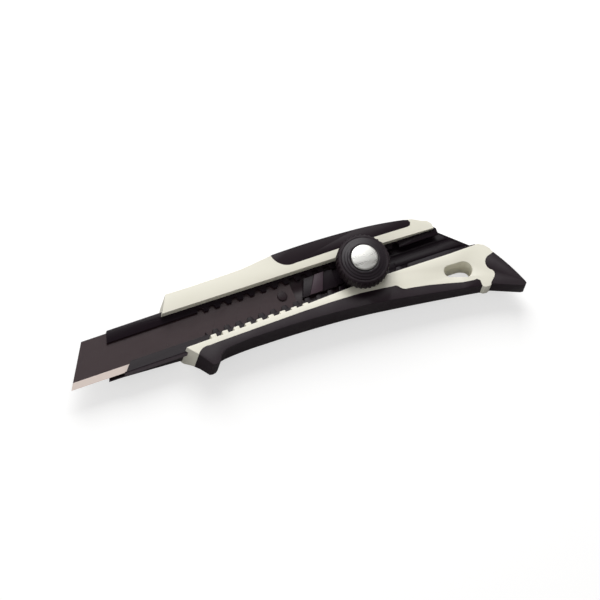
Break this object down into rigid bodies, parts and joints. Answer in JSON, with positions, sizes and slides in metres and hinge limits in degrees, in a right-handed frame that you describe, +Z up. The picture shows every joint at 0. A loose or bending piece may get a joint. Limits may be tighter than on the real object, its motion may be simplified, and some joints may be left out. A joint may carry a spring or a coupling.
{
  "type": "utility knife",
  "caption": "Snap-off utility knife with a dial-locked slider, steel blade rail, moulded handle with soft grips, finger guard and lanyard hole.",
  "frame": {"origin": "foot of the dial's axis on the flat back plane of the handle", "axes": "+X runs to the tail (the blade points to -X), +Y to the spine, +Z up towards the dial; the knife lies on its back"},
  "size_m": [0.1909, 0.0455, 0.025],
  "materials": {
    "casing_plastic": "satin",
    "grip_rubber": "matte",
    "rail_steel": "gloss",
    "nose_plastic": "matte",
    "bare_steel": "satin",
    "blade_steel": "satin",
    "slider_plastic": "matte",
    "nut_brass": "satin",
    "dial_plastic": "satin",
    "cap_metal": "brushed"
  },
  "bodies": {
    "handle": {"casing": "casing_plastic", "top_grip": "grip_rubber", "lower_grip": "grip_rubber", "tail_fin": "grip_rubber", "blade_rail": "rail_steel", "nose_support": "nose_plastic", "rail_rivets": "bare_steel"},
    "slider": {"blade": "blade_steel", "slider_plate": "bare_steel", "blade_pin": "bare_steel", "slider_body": "slider_plastic", "click_spring": "bare_steel", "lock_stud": "bare_steel", "stud_clip": "bare_steel"},
    "clamp": {"clamp_shoe": "slider_plastic", "wave_washer": "bare_steel"},
    "dial": {"dial_nut": "nut_brass", "dial_knob": "dial_plastic", "dial_cap": "cap_metal", "dial_grip_ring": "grip_rubber"}
  },
  "joints": [
    {"name": "slider_slide", "type": "slide", "parent": "handle", "child": "slider", "axis": [-1, 0, 0], "range_m": [-0.025, 0.055]},
    {"name": "clamp_lift", "type": "slide", "parent": "slider", "child": "clamp", "axis": [0, 0, 1], "range_m": [0, 0.0008]},
    {"name": "dial_turn", "type": "hinge", "parent": "clamp", "child": "dial", "pos_m": [0, 0, 0.0195], "axis": [0, 0, 1], "range_deg": [0, 360]}
  ],
  "couplings": [
    {"joint": "clamp_lift", "follows": "dial_turn", "m_per_rad": 0.000127}
  ]
}
